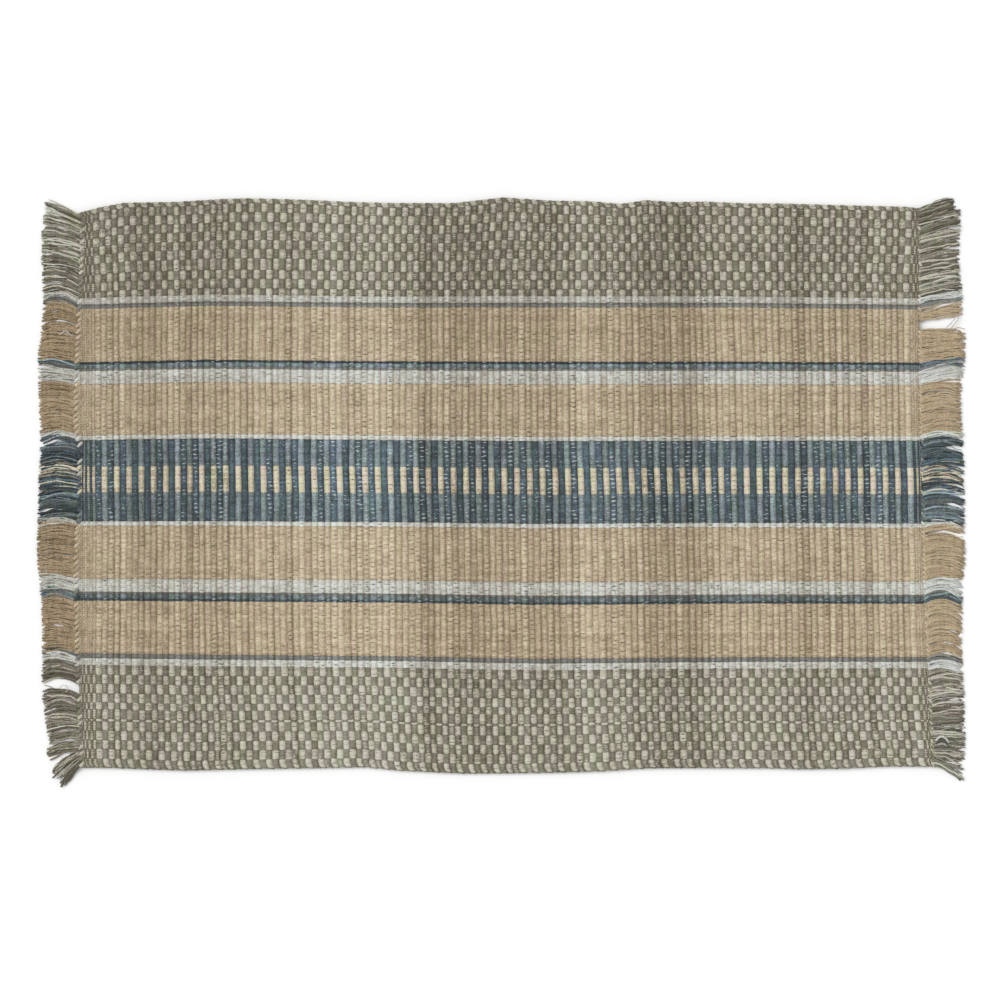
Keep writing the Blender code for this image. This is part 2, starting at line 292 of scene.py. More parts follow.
RIGHT_LOCKS = rows_of(LockRow, [
    (-0.302, 0.4985, -0.009, 0.0, 2.6),
    (-0.29, 0.5, -0.003, 0.001, 1.6),
    (-0.275, 0.501, 0.001, 0.001, 0.95),
    (-0.242, 0.5, 0.004, 0.001, 0.9),
    (-0.206, 0.499, -0.001, 0.003, 0.9),
    (-0.19, 0.498, -0.006, 0.004, 0.9),
    (-0.167, 0.497, -0.001, 0.005, 0.95),
    (-0.12, 0.498, -0.002, 0.006),
    (-0.108, 0.498, 0.003, 0.004),
    (-0.08, 0.501, -0.003, 0.004),
    (-0.016, 0.5, -0.002, 0.004, 0.55),
    (0.049, 0.499, 0.002, 0.004, 0.6),
    (0.092, 0.496, 0.003, 0.003, 0.95),
    (0.123, 0.5, 0.008, 0.002, 0.95),
    (0.166, 0.501, -0.001, 0.001),
    (0.181, 0.498, 0.007, 0.0),
    (0.196, 0.498, 0.009, 0.002, 0.95),
    (0.239, 0.494, 0.007, 0.001, 0.85),
    (0.284, 0.496, 0.013, 0.001, 0.8),
    (0.298, 0.486, 0.01, 0.001, 0.8),
])
# Middles of the locks that are missing or stand apart
LEFT_OPENINGS = [-0.218]
RIGHT_OPENINGS = [0.172]
LOCK_PITCH = 0.01
CORNER_INSET = 0.001
Lock = namedtuple("Lock", "side_of pitch edge middle tip lean bow fan knot_along knot_across")
Fringe = namedtuple("Fringe", "locks openings manner strays")

# Loose ends of a lock: two layers and the wisps, each with its tangle, its level in yarn radii
# and its tones, low in the lower layer as painted shade, and the waves that carry them sideways
YARNS_BELOW = 7
YARNS_ABOVE = 6
WISPS = 2
YARN_RADIUS = 0.00092
WISP_RADIUS = 0.0004
YARN_SIDES = 4
KNOT_SIDES = 5
YARN_SHARES = (0.0, 0.12, 0.26, 0.41, 0.56, 0.71, 0.86, 1.0)
YarnKind = namedtuple("YarnKind", "tangle wave rest start tone plain_tone")
BELOW = YarnKind(0.0006, 1.0, 1.0, 0.0, 0.16, 0.32)
ABOVE = YarnKind(0.0028, 1.0, 2.2, 0.0012, 0.5, 0.5)
WISP = YarnKind(0.00364, 1.6, 2.2, 0.0012, 0.75, 0.75)
REST_RANGE = 0.8
StartStep = namedtuple("StartStep", "along gather level")
YARN_START = [StartStep(-0.0015, 1.0, 0.8), StartStep(0.0002, 0.97, 0.85)]
Wave = namedtuple("Wave", "swing sizes turns")
SLOW_WAVE = Wave(0.0013, (0.2, 1.3), (4.0, 8.5))
QUICK_WAVE = Wave(0.0007, (0.2, 1.5), (9.0, 17.0))
WAVE_GROWTH = 0.6
KNOT_WAIST = 0.9
SPREAD_PLACES = (0.0, 0.35, 1.0)
FALL_SHARE = 0.45
LIFT = 0.0003
LIFT_TURN = 4.0
LIFT_FADE = 0.4
TIP_OVERHANG = 0.35
TIP_LENGTH = 0.0003
TIP_TAPER = 0.8
POINT_RADIUS = 0.00002
THICKNESS_RANGE = (0.85, 1.15)
FAN_RANGE = (0.85, 1.1)
LOCK_TONE = 0.08
Knots = namedtuple("Knots", "pitch place length slant radius")
Manner = namedtuple("Manner", "plain_tone mixed_tone corner_tones knots")
# The left fringe's plain and mixed tones are lower than the right's, as painted shade among its yarns
LEFT_MANNER = Manner(
    -0.29, -0.34, {-0.19: -0.24, -0.17: 0.0}, Knots(0.0064, 0.0002, 0.0028, -0.003, 0.002)
)
RIGHT_MANNER = Manner(
    0.3, -0.1, {0.17: 0.0, 0.19: -0.2}, Knots(0.0049, 0.0014, 0.0028, -0.002, 0.0014)
)
PLAIN_FRINGE = ("fringe_tan", "pale_grey", "pale_line")
PLAIN_TONE = 0.1
MIXED_TONE = 0.52
DRIFT_LIMIT = 1.6
LOCK_STRAY = 0.0012
TIP_STRAY = 0.003
FRINGE_FALL = 0.0026
FIRST_YARN_SHARE = 0.58
KNOT_POINTS = 7
KNOT_TAPER = 0.6
KNOT_TONE = 0.14
KNOT_STRAY_ALONG = 0.0003
KNOT_STRAY_ACROSS = 0.0004
ROOT_STRAY = 0.0005
KnotStroke = namedtuple("KnotStroke", "slope rise tone")
# Two strokes per knot; the lower one's lower tone is painted shade under the upper one
KNOT_STROKES = [KnotStroke(-0.6, 0.0, 0.0), KnotStroke(1.0, 0.001, 0.5)]
KNOT_PLACE = 0.0012
KNOT_LEVEL = 0.004
STRAY_LEVEL = 0.0058
KNOT_PALE_SHARE = 0.22
DARK_KNOT = 0.3
KNOT_LIGHT_SHARE = 0.55

# Single threads that lie loose about the fringes, with the places along and across that they pass
StrayThread = namedtuple("StrayThread", "yarn tone radius along across")
LEFT_STRAYS = rows_of(StrayThread, [
    ("cream", 0.7, 0.0004,
     (-0.477, -0.473, -0.469, -0.468, -0.472), (-0.221, -0.2155, -0.2165, -0.221, -0.223)),
    ("pale_grey", 0.6, 0.0004,
     (-0.479, -0.474, -0.47, -0.465, -0.461), (0.166, 0.1645, 0.167, 0.163, 0.165)),
])
RIGHT_STRAYS = rows_of(StrayThread, [
    ("pale_grey", 0.5, 0.0006,
     (0.48, 0.483, 0.4865, 0.4895, 0.4925), (0.1695, 0.1725, 0.176, 0.1795, 0.1835)),
    ("pale_grey", 0.4, 0.0005,
     (0.4855, 0.488, 0.4905, 0.493, 0.4945), (0.169, 0.172, 0.1755, 0.179, 0.1835)),
    ("pale_grey", 0.5, 0.0013,
     (0.4685, 0.472, 0.4765, 0.481, 0.4845), (-0.277, -0.2725, -0.271, -0.274, -0.2785)),
    # A dark thread in the loop at the near right corner: threads lie there, and their darkness is
    # painted shade
    ("slate", -0.5, 0.0013,
     (0.469, 0.4725, 0.4765, 0.48, 0.482), (-0.28, -0.276, -0.275, -0.277, -0.28)),
    ("pale_grey", -0.1, 0.0012,
     (0.47, 0.4735, 0.4765, 0.4795, 0.4815), (-0.2805, -0.279, -0.2785, -0.2795, -0.2815)),
])

# Colours of the yarns in linear light, how dark and light each one gets, and what peeps out between
# its floats, which in the light yarns is painted dark as shade in the gaps
Yarn = namedtuple("Yarn", "name colour dark light peep parting hue")
YARNS = rows_of(Yarn, [
    ("tan", (0.482, 0.395, 0.277), 0.48, 1.62, (0.205, 0.15, 0.088), 0.52, 0.45),
    ("light_tan", (0.503, 0.41, 0.287), 0.48, 1.6, (0.215, 0.158, 0.092), 0.52, 0.45),
    ("taupe", (0.218, 0.204, 0.155), 0.43, 1.5, (0.47, 0.44, 0.36), 0.36, 0.75),
    ("cream", (0.53, 0.5, 0.408), 0.36, 1.25, (0.19, 0.18, 0.14), 0.6, 0.6),
    ("warm_cream", (0.635, 0.576, 0.44), 0.36, 1.22, (0.26, 0.22, 0.13), 0.6, 0.7),
    ("pale_grey", (0.59, 0.587, 0.537), 0.5, 1.3, (0.19, 0.195, 0.175), 0.42, 0.25),
    ("pale_line", (0.608, 0.612, 0.56), 0.46, 1.3, (0.18, 0.18, 0.15), 0.5, 0.35),
    ("slate", (0.206, 0.205, 0.19), 0.45, 1.5, (0.42, 0.42, 0.39), 0.4, 0.6),
    ("navy", (0.074, 0.102, 0.119), 0.38, 2.3, (0.49, 0.54, 0.545), 0.32, 1.0),
    ("navy_grey", (0.128, 0.158, 0.166), 0.42, 2.0, (0.44, 0.48, 0.49), 0.34, 0.8),
    ("slate_blue", (0.198, 0.238, 0.247), 0.38, 2.0, (0.48, 0.52, 0.52), 0.38, 0.8),
    ("fringe_tan", (0.43, 0.328, 0.21), 0.45, 1.5, (0.205, 0.15, 0.088), 0.6, 0.35),
])
RAG_WEFT = Yarn("rag_weft", (0.27, 0.265, 0.225), 0.6, 1.3, (0.0, 0.0, 0.0), 1.0, 0.6)
# Hues that the yarns stray to from place to place: the greens, the middle and the violets
TINTS = [
    (0.36, (0.93, 1.0, 0.86)),
    (0.46, (0.98, 1.0, 0.96)),
    (0.54, (1.0, 0.98, 0.98)),
    (0.64, (1.0, 0.92, 1.0)),
]
MIDDLE_TONE = 0.5

# Noises in the yarns, and how much each weighs in how light a yarn is
Noise = namedtuple("Noise", "stretch scale detail")
BLOTCH = Noise((1.0, 1.0, 1.0), 85.0, 3.0)
STREAK = Noise((6.0, 380.0, 60.0), 1.0, 2.0)
COLUMN = Noise((330.0, 45.0, 45.0), 1.0, 2.0)
GRAIN = Noise((1.0, 1.3, 1.3), 720.0, 1.0)
FIBRE = Noise((1.0, 3.4, 3.4), 900.0, 4.0)
HUE = Noise((1.0, 0.22, 1.0), 150.0, 2.0)
TONE_WEIGHT = 0.3
NOISE_WEIGHTS = {BLOTCH: 0.14, STREAK: 0.04, COLUMN: 0.26, GRAIN: 0.66, FIBRE: 0.08}
TWIST_WEIGHT = 0.04
TWIST = {"Scale": 400.0, "Distortion": 2.2, "Detail": 2.0}
# Each yarn's ramp runs from its dark to its light shade, for random tone and for the painted shade and
# highlights alike
DARK_STOP, OWN_STOP, LIGHT_STOP = 0.52, 0.76, 1.0
DARK_WARMTH = 0.08
LIGHT_WARMTH = -0.07
YARN_SHEEN = 0.1
YARN_SPECULAR = 0.18
SMOOTHEST, ROUGHEST = 0.78, 1.0
BUMP_STRENGTH = 0.55
BUMP_DISTANCE = 0.0003
TWIST_RELIEF = 0.5
FIBRE_RELIEF = 0.9
PARTING_SOFTNESS = 0.1
PEEP_STOPS = ((0.1, 0.8), (0.9, 1.2))
# Painted shade of the rag weft in its grooves between the picks
RIB_SHADE_STOPS = [(0.35, (0.1, 0.09, 0.075)), (0.85, (1.0, 1.0, 1.0))]

# Floor, light and camera
FLOOR_SIZE = 8.0
FLOOR_COLOUR = (0.96, 0.96, 0.96)
FLOOR_MOTTLE = Noise((1.0, 1.0, 1.0), 3.0, 3.0)
FLOOR_STOPS = ((0.3, 0.99), (0.7, 1.0))
FLOOR_ROUGHNESS = 0.9
FLOOR_SPECULAR = 0.1
WORLD_STRENGTH = 0.62
KEY_STRENGTH = 1.75
KEY_ANGLE = 0.7
KEY_TURN = (0.0, -0.65, -0.5)
CAMERA_SENSOR = 36.0
CAMERA_HEIGHT = 5.0
PICTURE_WIDTH = 1.08
PICTURE_MIDDLE = (-0.00145, -0.00926)


def weave_end(side, across):
    """Where the weave ends along the rug, on one side, at places across it."""
    return read_rows(WEAVE_ENDS, side, across)


def between_lines(stops, lines, place):
    """Values at places between a few stops, where each stop has a line of values of its own."""
    stops = np.array(stops)
    lines = np.stack(lines)
    segment = np.clip(np.searchsorted(stops, place) - 1, 0, len(stops) - 2)
    start = np.take_along_axis(lines, segment[None], 0)[0]
    finish = np.take_along_axis(lines, segment[None] + 1, 0)[0]
    share = (place - stops[segment]) / (stops[segment + 1] - stops[segment])
    return start + share * (finish - start)


def pick_wander(middle_place, across):
    """How far the picks wander along the rug: a slow wave with a small ripple on it."""
    wave = np.sin(WAVE_ACROSS * across + WAVE_SWING * np.sin(WAVE_ALONG * middle_place))
    ripple = np.sin(RIPPLE_ACROSS * across + RIPPLE_ALONG * middle_place)
    return PICK_WANDER * (wave + RIPPLE_SHARE * ripple)


def along_at(middle_place, across):
    """Carry places on the rug's middle line to the same weft line at other places across it."""
    middle_place, across = np.broadcast_arrays(middle_place, across)
    lean = [read_rows(PICK_LEAN, name, across) for name in LeanRow._fields[1:]]
    inner = np.clip(middle_place, LEAN_PLACES[0], LEAN_PLACES[-1])
    leaned = middle_place + between_lines(LEAN_PLACES, lean, inner)
    leaned = leaned + pick_wander(middle_place, across)
    left = weave_end("left", across) + read_table(LEFT_NOTCH, across)
    right = weave_end("right", across)
    from_left = np.clip((middle_place - weave_end("left", 0.0)) / HEADING_LEFT, 0.0, 1.0)
    from_right = np.clip((weave_end("right", 0.0) - middle_place) / HEADING_RIGHT, 0.0, 1.0)
    along = left + from_left * (leaned - left)
    return right + from_right * (along - right)


def across_at(end_place, middle_place):
    """Where an end of the warp lies across the unrolled cloth, at places along the middle line."""
    extra = ROLL_RADIUS * (math.pi / 2 - 1.0)
    lines = [read_rows(LONG_EDGES, "far", middle_place) + extra]
    lines += [read_rows(STRIPE_LINES, name, middle_place) for name in StripeLine._fields[1:]]
    lines.append(read_rows(LONG_EDGES, "near", middle_place) - extra)
    return between_lines((0.0,) + LINE_ENDS + (float(WARP_ENDS),), lines, end_place)


def place_on_cloth(middle_place, unrolled, height, face):
    """Points of the cloth: places along it, unrolled across it and above its middle plane.

    The long edges roll round to the other face, and their outermost ends slant.
    """
    far = read_rows(LONG_EDGES, "far", middle_place)
    near = read_rows(LONG_EDGES, "near", middle_place)
    past_far = np.maximum(unrolled - (far - ROLL_RADIUS), 0.0)
    past_near = np.maximum((near + ROLL_RADIUS) - unrolled, 0.0)
    turn = (past_far + past_near) / ROLL_RADIUS
    depth = (height - HALF_THICKNESS) * (1.0 - ROLL_FLATTENING * np.clip(np.sin(turn), 0.0, 1.0))
    radius = HALF_THICKNESS + depth
    outward = np.where(past_far > 0.0, 1.0, -1.0)
    flat = np.clip(unrolled, near + ROLL_RADIUS, far - ROLL_RADIUS)
    across = flat + outward * radius * np.sin(turn)
    level = HALF_THICKNESS + face * radius * np.cos(turn)
    slant = np.maximum((near + SELVEDGE_REACH) - unrolled, 0.0)
    slant = slant - np.maximum(unrolled - (far - SELVEDGE_REACH), 0.0)
    along = along_at(middle_place, across) + SELVEDGE_SLANT * slant
    return np.stack([along, across, level], axis=-1)


def warp_order():
    """Yarns over the wide and the narrow picks for each end, from the far to the near edge."""

    def check(rows):
        order = []
        for letter, ends in zip(rows.light_on, rows.ends):
            order += [("cream", "taupe") if letter == "W" else ("taupe", "cream")] * ends
        return order

    order = check(FAR_CHECK)
    for stripe in STRIPES:
        order += [(stripe.wide, stripe.narrow or stripe.wide)] * stripe.ends
    return order + check(NEAR_CHECK)


def pick_edges():
    """Places of the grooves between all picks, those of the headings too."""
    rag = []
    for pair in range(PAIRS):
        before = read_table(PICK_PLACES, pair - 1)
        middle = read_table(PICK_PLACES, pair)
        pitch = middle - before
        rag.append(middle - (1.0 - NARROW_SHARE / 2) * pitch)
        rag.append(middle - NARROW_SHARE / 2 * pitch)
    rag.append(middle + NARROW_SHARE / 2 * pitch)
    left = np.linspace(weave_end("left", 0.0), rag[0], HEADING_PICKS_LEFT + 1)
    right = np.linspace(rag[-1], weave_end("right", 0.0), HEADING_PICKS_RIGHT + 1)
    return np.concatenate([left[:-1], rag, right[1:]])


WARP_ORDER = warp_order()
WARP_ENDS = len(WARP_ORDER)
YARN_NUMBERS = {yarn.name: number for number, yarn in enumerate(YARNS)}
ORDER_NUMBERS = np.array([[YARN_NUMBERS[name] for name in pair] for pair in WARP_ORDER]).T
EDGES = pick_edges()
PICKS = len(EDGES) - 1
FIRST_RAG = HEADING_PICKS_LEFT
LAST_RAG = FIRST_RAG + 2 * PAIRS - 1
PICKS_PER_ROW = math.ceil(PICKS / BAKE_ROWS)
TICKED_YARNS = [YARN_NUMBERS[name] for name in TICKED]
rng = np.random.default_rng(SEED)
PICK_TONES = rng.normal(0.0, PICK_TONE, PICKS)
BROAD_TONES = np.convolve(rng.normal(0.0, BROAD_TONE, PICKS), np.ones(BROAD_PICKS), "same")
PICK_TONES += BROAD_TONES / math.sqrt(BROAD_PICKS)
END_TONES = rng.normal(0.0, END_TONE, WARP_ENDS)
END_TONES += read_table(BORDER_TONES, np.arange(WARP_ENDS))
PICK_SKEWS = rng.uniform(*SKEW_RANGE, PICKS)
PICK_CRESTS = rng.uniform(*CREST_RANGE, PICKS) * CREST_STRAY
PICK_GAPS = rng.uniform(*GAP_RANGE, PICKS)
PICK_GROOVES = rng.uniform(*GROOVE_RANGE, PICKS + 1)


def add_mesh(name, points, faces, yarns, face_yarns, values, bake):
    """A joined mesh of four-sided faces, with a yarn for each face and named values for points."""
    mesh = bpy.data.meshes.new(name)
    points = points.reshape(-1, 3) + np.array([*PLAN_SHIFT, 0.0])
    mesh.vertices.add(len(points))
    mesh.vertices.foreach_set("co", points.astype(np.float32).ravel())
    mesh.loops.add(faces.size)
    mesh.loops.foreach_set("vertex_index", faces.astype(np.int32).ravel())
    mesh.polygons.add(len(faces))
    mesh.polygons.foreach_set("loop_start", np.arange(0, faces.size, 4, dtype=np.int32))
    mesh.update(calc_edges=True)
    used = sorted(set(face_yarns.tolist()))
    for number in used:
        mesh.materials.append(yarns[number])
    slots = np.searchsorted(used, face_yarns)
    mesh.polygons.foreach_set("material_index", slots.astype(np.int32))
    mesh.polygons.foreach_set("use_smooth", np.ones(len(faces), dtype=bool))
    for label, numbers in values.items():
        layer = mesh.attributes.new(label, "FLOAT", "POINT")
        layer.data.foreach_set("value", numbers.astype(np.float32).ravel())
    layer = mesh.uv_layers.new(name="OFBake")
    corners = bake.reshape(-1, 2)[faces.ravel()]
    layer.data.foreach_set("uv", corners.astype(np.float32).ravel())
    piece = bpy.data.objects.new(name, mesh)
    bpy.context.scene.collection.objects.link(piece)
    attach(piece, "root")
    return piece


def grid_faces(count, rows, columns, facing_up):
    """Faces of many equal grids of points, one after another."""
    row, column = np.meshgrid(np.arange(rows - 1), np.arange(columns - 1), indexing="ij")
    corner = (row * columns + column).ravel()
    face = np.stack([corner, corner + 1, corner + columns + 1, corner + columns], axis=-1)
    if not facing_up:
        face = face[:, ::-1]
    starts = np.arange(count) * rows * columns
    return (starts[:, None, None] + face[None]).reshape(-1, 4)


def join_grids(grids):
    """One set of points, faces and values from several, with the faces renumbered."""
    starts = np.cumsum([0] + [grid["points"].size // 3 for grid in grids])
    joined = {"faces": np.concatenate([grid["faces"] + start for grid, start in zip(grids, starts)])}
    for label in ("points", "bake", "face_yarns", "tone", "gap"):
        joined[label] = np.concatenate([grid[label].ravel() for grid in grids])
    joined["values"] = {label: joined.pop(label) for label in ("tone", "gap")}
    return joined


def over_wide(pick):
    """Whether a pick is one of those that the even ends float over, on the top face."""
    return (pick - FIRST_RAG) % 2 == 0


def is_heading(pick):
    """Whether a pick is one of the thin ones at either end of the weave."""
    return (pick < FIRST_RAG) | (pick > LAST_RAG)


def arch_at(s):
    """The height of a float's arch, as a share of its rise, at places from -1 to 1 along it."""
    return (1.0 - np.abs(s) ** ARCH_POWER) ** (1.0 / ARCH_POWER)


def strand_lines(t):
    """Whether places across a float lie on its edges and, in the finer ones, between its strands."""
    return np.abs(t) == 1.0, (t == 0.0) & (t.shape[-1] > 3)


def spread(values):
    """Values of single floats, ready to be spread over the points of each."""
    return values[:, None, None]


def float_tones(pick, strands, lanes, s, t, shape):
    """How light each point of the floats is: strands differ, with painted shade in grooves and valleys
    and a painted highlight on crests.
    """
    is_edge, is_core = strand_lines(t)
    divides = (lanes[:-1] != lanes[1:])[:, :, None, None]
    divide = np.where(t == -1.0, divides[0], np.where(t == 1.0, divides[2], divides[1] & is_core))
    own = END_TONES[strands[1:3]] + rng.normal(0.0, FLOAT_TONE, (2, len(pick)))
    low, high = (MIDDLE_TONE + PICK_TONES[pick] + own)[:, :, None, None]
    tone = np.where(t < 0.0, low, np.where(t > 0.0, high, (low + high) / 2))
    # Painted shade in the valleys and where two colours meet
    painted_valley_shade = VALLEY_SHADE * (is_edge + is_core / 2) + DIVIDE_SHADE * divide
    tone = tone - painted_valley_shade * (VALLEY_AT_CREST + (1.0 - VALLEY_AT_CREST) * np.abs(s))
    # Painted shade in the grooves between picks and on their shoulders
    depth = np.where(s < 0.0, spread(PICK_GROOVES[pick]), spread(PICK_GROOVES[pick + 1]))
    in_groove = np.abs(s) == 1.0
    painted_groove_shade = depth * (GROOVE_SHADE * in_groove + SHOULDER_SHADE * ((s != 0.0) & ~in_groove))
    if shape is HEADING_FLOAT:
        # Painted shade between the heading's strands, more where its two yarns differ
        mixed = spread((ORDER_NUMBERS[0] != ORDER_NUMBERS[1])[strands[1]])
        between = (HEADING_VALLEY_SHADE + MIXED_VALLEY_SHADE * mixed) * (is_edge | is_core)
        return tone - painted_groove_shade * HEADING_GROOVE_SHADE - between
    # Painted highlight on the middle of the crest
    painted_crest_highlight = BEAD_HIGHLIGHT * spread(PICK_GAPS[pick]) * (is_core & (s == 0.0))
    return tone - painted_groove_shade + painted_crest_highlight


def float_grid(pick, end, parity, band, face, shape, steps):
    """One float for each pick and end, with its points, faces, tones, gaps and yarns."""
    s, t = np.array(steps[0])[None, :, None], np.array(steps[1])[None, None, :]
    is_edge, is_core = strand_lines(t)
    inward = 1.0 - np.abs(s)
    arch = arch_at(s)
    count = len(pick)
    zeros = np.zeros((count, s.size, t.size))
    strands = np.clip(np.stack([end - 1, end, end + 1, end + 2]), 0, WARP_ENDS - 1)
    lanes = ORDER_NUMBERS[parity][strands]

    opened = spread(PICK_GAPS[pick] * rng.uniform(*OPENING_RANGE, count))
    crest_place = spread(rng.choice(CREST_PLACES, count))
    stray = spread(rng.normal(0.0, FLOAT_STRAY, count))
    skew = spread(PICK_SKEWS[pick] * shape.skew) * s * t
    width = 1.0 - shape.opening * opened * inward
    end_place = spread(end) + 1.0 + stray * inward + t * width + skew * SKEW_DRIFT
    start, finish = spread(EDGES[pick]), spread(EDGES[pick + 1])
    middle_place = (start + finish) / 2 + (finish - start) / 2 * s + zeros

    rise = spread(shape.crest + PICK_CRESTS[pick] + rng.normal(0.0, CREST_STRAY / 3, count))
    dip = np.where(is_edge, shape.edge_dip, np.where(is_core, 0.0, shape.strand_dip))
    dip = dip * (DIP_AT_FOOT + (1.0 - DIP_AT_FOOT) * arch)
    height = shape.foot + (rise - shape.foot) * arch - dip
    unrolled = across_at(end_place + zeros, middle_place)

    ticked = spread(np.isin(lanes[1], TICKED_YARNS) * rng.uniform(*TICK_RANGE, count))
    # Where the gaps open: the colour below shows there, painted dark as shade in the light yarns
    peep = np.where(is_edge, 1.0, is_core * ticked)
    gap = opened * peep * np.clip(1.0 - np.abs(s - crest_place) / GAP_REACH, 0.0, 1.0) + zeros
    bake_u = (spread(pick % PICKS_PER_ROW) + (s + 1.0) / 2 + zeros) / PICKS_PER_ROW
    bake_v = (spread(end) - band.first + 2.0 + t + zeros) / (band.last - band.first + 2.0)
    bake_v = (spread(pick // PICKS_PER_ROW) + bake_v * BAKE_FILL) / BAKE_ROWS
    face_yarns = np.where(t[..., :-1] < 0.0, spread(lanes[1]), spread(lanes[2]))
    return {
        "points": place_on_cloth(middle_place, unrolled, height, face),
        "faces": grid_faces(count, s.size, t.size, face < 0),
        "bake": np.stack([bake_u, bake_v], axis=-1),
        "tone": float_tones(pick, strands, lanes, s, t, shape) + zeros,
        "gap": gap * (shape is not HEADING_FLOAT),
        "face_yarns": np.repeat(face_yarns, s.size - 1, axis=1),
    }


def float_grids(picks, band, face, shape, steps):
    """Floats of a band's ends over some picks, on one face: those of the even, then the odd ends."""
    grids = []
    for parity in (0, 1):
        on_top = over_wide(picks) == (parity == 0)
        rows = picks[on_top] if face > 0 else picks[~on_top]
        ends = np.arange(band.first - (band.first == 0), band.last)
        ends = ends[ends % 2 == parity]
        if len(rows) and len(ends):
            pick, end = [places.ravel() for places in np.meshgrid(rows, ends, indexing="ij")]
            grids.append(float_grid(pick, end, parity, band, face, shape, steps))
    return grids


def build_warp(name, band, face, yarns):
    """All floats of one band of the warp, on one face of the cloth, as one piece."""
    picks = np.arange(PICKS)
    heading, rag = picks[is_heading(picks)], picks[~is_heading(picks)]
    steps = TOP_STEPS if face > 0 else UNDER_STEPS
    heading_steps = HEADING_TOP_STEPS if face > 0 else HEADING_UNDER_STEPS
    grids = float_grids(rag[over_wide(rag)], band, face, WIDE_FLOAT, steps)
    grids += float_grids(rag[~over_wide(rag)], band, face, NARROW_FLOAT, steps)
    grids += float_grids(heading, band, face, HEADING_FLOAT, heading_steps)
    piece = add_mesh(name, yarns=yarns, **join_grids(grids))
    return piece


def weft_profile():
    """Places, heights, tones and ribs of the weft along the rug, with two steps over each pick."""
    arch = float(arch_at(WEFT_RIB))
    steps = [(EDGES[0] + WEFT_INSET, WEFT_GROOVE, MIDDLE_TONE, 0.0)]
    for pick in range(PICKS):
        start, finish = EDGES[pick], EDGES[pick + 1]
        crest = HEADING_FLOAT.crest if is_heading(pick) else WIDE_FLOAT.crest
        height = WEFT_GROOVE + (crest - WEFT_SINK - WEFT_GROOVE) * arch
        tone = float(np.clip(MIDDLE_TONE + rng.normal(0.0, RAG_TONE), 0.0, 1.0))
        for step in (-WEFT_RIB, WEFT_RIB):
            steps.append(((start + finish) / 2 + step * (finish - start) / 2, height, tone, arch))
        steps.append((finish, WEFT_GROOVE, MIDDLE_TONE, 0.0))
    profile = np.array(steps).T
    profile[0, -1] -= WEFT_INSET
    return profile


def build_weft(yarns):
    """The rag weft as one closed ribbed sheet just under the warp floats of both faces."""
    profile = weft_profile()
    selvedge = np.array(SELVEDGE_ROWS)
    ends = np.concatenate([selvedge, WEFT_ROWS, WARP_ENDS - selvedge[::-1]])
    columns, rows = profile.shape[1], len(ends)
    zeros = np.zeros((columns, rows))
    place, height, tone, rib = profile[:, :, None] + zeros
    unrolled = across_at(ends + zeros, place)
    points = [place_on_cloth(place, unrolled, height, face) for face in (1.0, -1.0)]
    size = columns * rows
    faces = [grid_faces(1, columns, rows, False), grid_faces(1, columns, rows, True) + size]
    for column, order in ((0, 1), (columns - 1, -1)):
        first = column * rows + np.arange(rows - 1)
        quad = np.stack([first, first + 1, first + 1 + size, first + size], axis=-1)
        faces.append(quad[:, ::order])
    faces = np.concatenate(faces)
    u = (np.arange(columns)[:, None] + 0.5) / columns + zeros
    v = (np.arange(rows) + 0.5) / rows + zeros
    bake = [np.stack([u, v * BAKE_HALF + start], axis=-1) for start in BAKE_STARTS]
    values = {"tone": np.tile(tone, (2, 1)), "rib": np.tile(rib, (2, 1))}
    piece = add_mesh(
        "rag_weft", np.concatenate(points), faces, yarns, np.zeros(len(faces), int), values,
        np.concatenate(bake),
    )
    weld_selvedges(piece.data)
    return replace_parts(piece, "woven_panel")


def weld_selvedges(mesh):
    """Join the two faces of the sheet where they meet at the long edges."""
    bm = bmesh.new()
    bm.from_mesh(mesh)
    bmesh.ops.remove_doubles(bm, verts=bm.verts[:], dist=WELD_REACH)
    bm.to_mesh(mesh)
    bm.free()


def tube_piece(name, paths, radii, yarn_ids, tones, yarns, sides, bake_columns):
    """Many tubes of yarn, each along its own path of points, as one piece."""
    count, length = paths.shape[:2]
    zeros = np.zeros((count, length, sides + 1))
    tangent = np.gradient(paths, axis=1)
    tangent /= np.linalg.norm(tangent, axis=-1, keepdims=True)
    upward = np.zeros_like(tangent)
    upward[..., 2] = 1.0
    side = np.cross(tangent, upward)
    side /= np.maximum(np.linalg.norm(side, axis=-1, keepdims=True), TINY)
    upward = np.cross(side, tangent)
    angle = np.linspace(0.0, 2.0 * math.pi, sides + 1)[None, None, :, None]
    ring = np.cos(angle) * side[:, :, None] + np.sin(angle) * upward[:, :, None]
    points = paths[:, :, None] + radii[:, :, None, None] * ring
    points[..., 2] = np.maximum(points[..., 2], 0.0)
    faces = grid_faces(count, length, sides + 1, True)
    bake_rows = math.ceil(count / bake_columns)
    number = spread(np.arange(count))
    u = np.linspace(*TUBE_BAKE_LENGTH, length)[None, :, None] + zeros
    v = np.linspace(*TUBE_BAKE_GIRTH, sides + 1)[None, None, :] + zeros
    bake_u = (number % bake_columns + u) / bake_columns
    bake_v = (number // bake_columns + v) / bake_rows
    values = {"tone": spread(tones) + zeros, "gap": zeros}
    face_yarns = np.repeat(yarn_ids, (length - 1) * sides)
    bake = np.stack([bake_u, bake_v], axis=-1)
    piece = add_mesh(name, points, faces, yarns, face_yarns, values, bake)
    return piece


